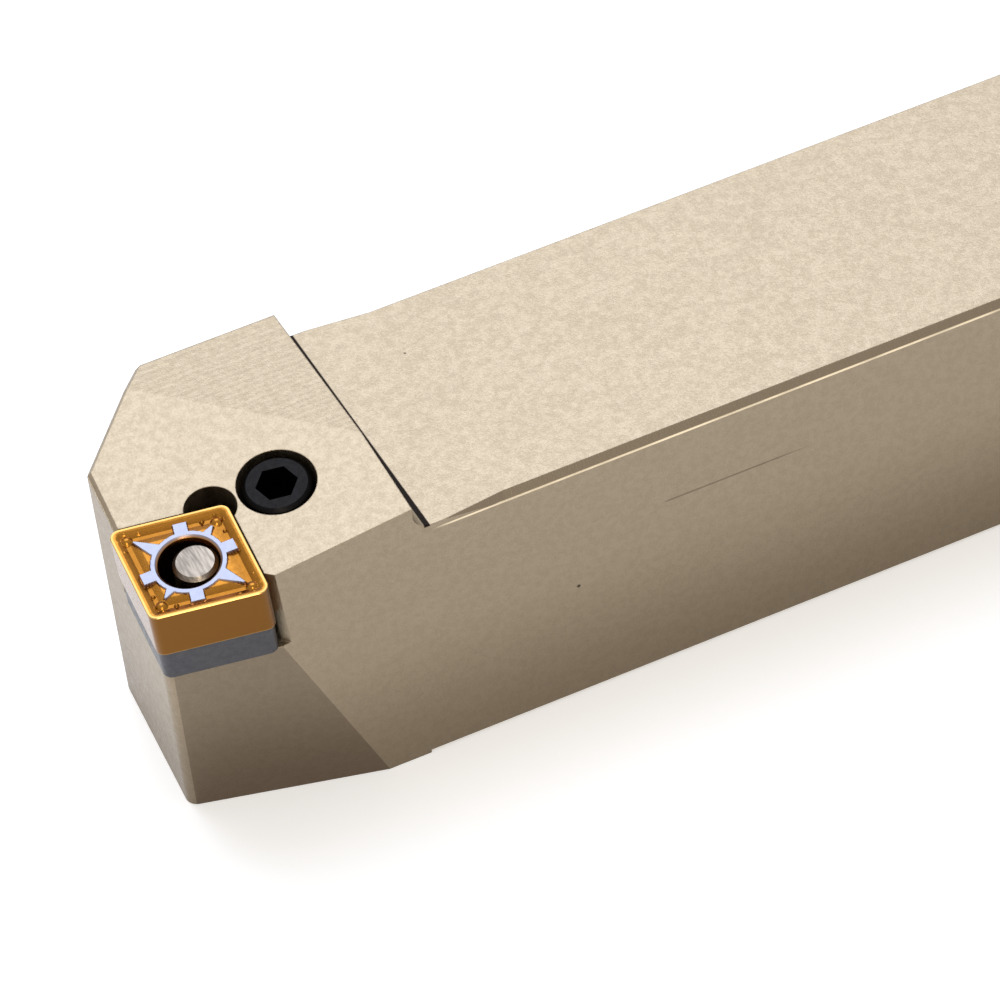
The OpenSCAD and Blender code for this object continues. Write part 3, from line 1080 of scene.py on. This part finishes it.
@dataclass(frozen=True)
class Finishes:
    """All finishes of the toolholder.

    Attributes:
        nickel: Holder's body.
        coating: Insert.
        shim: Shim.
        black: Lever screw.
        steel: Lever and shim pin, with the brushed marks of grinding.
    """

    nickel: SatinNickel = SatinNickel("satin_nickel", Slot.NICKEL, srgb(152, 138, 117), srgb(122, 107, 86),
                                      0.4, spread=0.06, depth=0.006 * MM, fine=6500.0, coarse=1500.0,
                                      contrast=0.24)
    coating: Coating = Coating("gold_coating", Slot.COATING, srgb(168, 114, 44), srgb(112, 70, 21), 0.22,
                               spread=0.05, depth=0.002 * MM, fine=12000.0, coarse=2400.0)
    shim: Metal = Metal("shim_carbide", Slot.SHIM, srgb(80, 79, 82), srgb(56, 55, 60), 0.42,
                        depth=0.004 * MM, coarse=1800.0, metallic=0.9)
    black: Metal = Metal("black_oxide", Slot.BLACK, srgb(25, 24, 24), srgb(14, 13, 13), 0.42,
                         depth=0.004 * MM, coarse=2500.0)
    steel: Metal = Metal("ground_steel", Slot.STEEL, srgb(140, 131, 119), srgb(98, 90, 82), 0.34,
                         spread=0.14, depth=0.005 * MM, fine=5200.0, coarse=900.0, stretch=(1.0, 0.12, 1.0),
                         contrast=0.7)


@dataclass
class Toolholder:
    """The whole tool: finishes on the CAD nodes, and the fine insert.

    Attributes:
        finishes: Its finishes.
        insert: The fine insert.
    """

    finishes: Finishes = field(default_factory=Finishes)
    insert: Insert = field(default_factory=Insert)

    def dress(self, node: str, material: bpy.types.Material) -> None:
        """Gives a CAD node its material.

        Args:
            node: Name of the node.
            material: Its finish.
        """
        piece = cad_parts[node]
        if not piece.material_slots:
            piece.data.materials.append(material)
        for slot in piece.material_slots:
            slot.material = material
        log.info("%s: %s", node, material.name)

    def build(self) -> None:
        """Builds every finish, dresses the CAD nodes and adds the fine insert."""
        grain = Grain().build()
        finishes = self.finishes
        steel = finishes.steel.build(grain)
        self.dress("holder_body", finishes.nickel.build(grain))
        self.dress("shim", finishes.shim.build(grain))
        self.dress("lever", steel)
        self.dress("shim_pin", steel)
        self.dress("lever_screw", finishes.black.build(grain))
        self.insert.build(finishes.coating.build(grain))


@dataclass(frozen=True)
class Lamp:
    """A soft square lamp that faces the tool.

    Attributes:
        name: Its name.
        place: Its place in metres.
        size: Its side in metres.
        power: Its power in watts.
        colour: Its linear colour.
        target: The point that it faces, in metres.
    """

    name: str
    place: Point
    size: float
    power: float
    colour: Colour
    target: Point = (0.01, 0.0, 0.015)

    def build(self) -> None:
        """Adds the lamp to the scene."""
        data = bpy.data.lights.new(self.name, "AREA")
        data.shape = "SQUARE"
        data.size, data.energy, data.color = self.size, self.power, self.colour
        lamp = bpy.data.objects.new(self.name, data)
        lamp.location = self.place
        lamp.rotation_euler = (Vector(self.place) - Vector(self.target)).to_track_quat("Z", "Y").to_euler()
        bpy.context.scene.collection.objects.link(lamp)


@dataclass(frozen=True)
class Studio:
    """Floor, background, lamps and camera, at the photograph's viewing angle.

    Attributes:
        azimuth: Camera's turn from the view along +Y, in degrees.
        elevation: Camera's height angle, in degrees.
        roll: Camera's turn about its own axis, in degrees.
        offset: Shift of the camera to the right and up, in mm.
        distance: Distance from the near bottom edge under the head's rear wall, in mm.
        lens: Focal length in mm.
        sensor: Width of the sensor in mm.
        clip: Nearest and farthest distance that the camera sees, in metres.
        corner_y: That edge's place across the tool, in mm.
        key: Main lamp, above and behind.
        fill: Weak warm lamp on the camera's side.
        world_light: Strength of the world on the object.
        floor_tone: Grey level of the floor.
        floor_rough: Roughness of the floor.
        floor_glow: Light that the floor adds for the rays that show it.
        floor_half: Half width of the floor in metres.
        floor_gap: Distance of the floor below the object in metres.
    """

    azimuth: float = -23.888
    elevation: float = 44.143
    roll: float = -4.021
    offset: Span = (4.144, 19.793)
    distance: float = 615.494
    lens: float = 275.0
    sensor: float = 36.0
    clip: Span = (0.01, 10.0)
    corner_y: float = -12.5
    key: Lamp = Lamp("key", (0.12, 0.5, 0.85), 1.0, 8.0, (0.88, 0.97, 1.16))
    fill: Lamp = Lamp("fill", (-0.28, -0.62, 0.62), 0.3, 2.5, (1.0, 0.91, 0.76))
    world_light: float = 0.55
    floor_tone: float = 0.86
    floor_rough: float = 0.9
    floor_glow: float = 0.32
    floor_half: float = 3.0
    floor_gap: float = 0.05 * MM

    def camera(self) -> None:
        """Places the camera."""
        turn, lift, roll = (math.radians(v) for v in (self.azimuth, self.elevation, self.roll))
        back = Vector((math.sin(turn) * math.cos(lift), -math.cos(turn) * math.cos(lift), math.sin(lift)))
        level = Vector((0, 0, 1)).cross(back).normalized()
        above = back.cross(level)
        right = level * math.cos(roll) + above * math.sin(roll)
        upward = above * math.cos(roll) - level * math.sin(roll)
        place = back * self.distance + right * self.offset[0] + upward * self.offset[1]
        place = (place + Vector((0, self.corner_y, 0))) * MM
        data = bpy.data.cameras.new("camera")
        data.sensor_width = self.sensor
        data.lens = self.lens
        data.clip_start, data.clip_end = self.clip
        camera = bpy.data.objects.new("camera", data)
        turned = Matrix((right, upward, back)).transposed().to_4x4()
        camera.matrix_world = Matrix.Translation(place) @ turned
        bpy.context.scene.collection.objects.link(camera)
        bpy.context.scene.camera = camera

    def seen(self, graph: Graph) -> Socket:
        """Finds the rays that show the background.

        Args:
            graph: Node tree of the material or world.

        Returns:
            1 for camera, glossy and transmission rays, 0 for others.
        """
        path = graph.node("ShaderNodeLightPath").outputs
        both = graph.calc("MAXIMUM", path["Is Camera Ray"], path["Is Glossy Ray"])
        return graph.calc("MAXIMUM", both, path["Is Transmission Ray"])

    def world(self) -> None:
        """Makes a white background that lights the object at a lower level."""
        world = bpy.data.worlds.new("studio")
        world.use_nodes = True
        graph = Graph(world.node_tree)
        background = world.node_tree.nodes["Background"]
        strength = graph.calc("ADD", graph.product(self.seen(graph), 1 - self.world_light), self.world_light)
        world.node_tree.links.new(strength, background.inputs["Strength"])
        background.inputs["Color"].default_value = (1, 1, 1, 1)
        bpy.context.scene.world = world

    def floor(self) -> None:
        """Lays a pale floor that keeps the object's shadow."""
        half = self.floor_half
        mesh = bpy.data.meshes.new("floor")
        mesh.from_pydata([(-half, -half, 0), (half, -half, 0), (half, half, 0), (-half, half, 0)], [],
                         [(0, 1, 2, 3)])
        material = bpy.data.materials.new("pale_floor")
        material.use_nodes = True
        graph = Graph(material.node_tree)
        shader = material.node_tree.nodes["Principled BSDF"]
        shader.inputs["Base Color"].default_value = (*[self.floor_tone] * 3, 1)
        shader.inputs["Roughness"].default_value = self.floor_rough
        shader.inputs["Specular IOR Level"].default_value = 0.0
        shader.inputs["Emission Color"].default_value = (1, 1, 1, 1)
        glow = graph.product(self.seen(graph), self.floor_glow)
        material.node_tree.links.new(glow, shader.inputs["Emission Strength"])
        mesh.materials.append(material)
        floor = bpy.data.objects.new("floor", mesh)
        floor.location.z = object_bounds()[0].z - self.floor_gap
        bpy.context.scene.collection.objects.link(floor)
        floor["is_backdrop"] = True

    def build(self) -> None:
        """Sets up the whole studio and the view settings."""
        bpy.context.scene.view_settings.view_transform = "Standard"
        self.world()
        self.floor()
        self.key.build()
        self.fill.build()
        self.camera()


def corners() -> List[List[float]]:
    """Returns the lowest and highest corners of the whole object, as plain lists."""
    return [list(corner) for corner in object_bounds()]


def main() -> None:
    """Builds the looks."""
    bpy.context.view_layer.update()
    Toolholder().build()
    Studio().build()


if __name__ == "__main__":
    main()
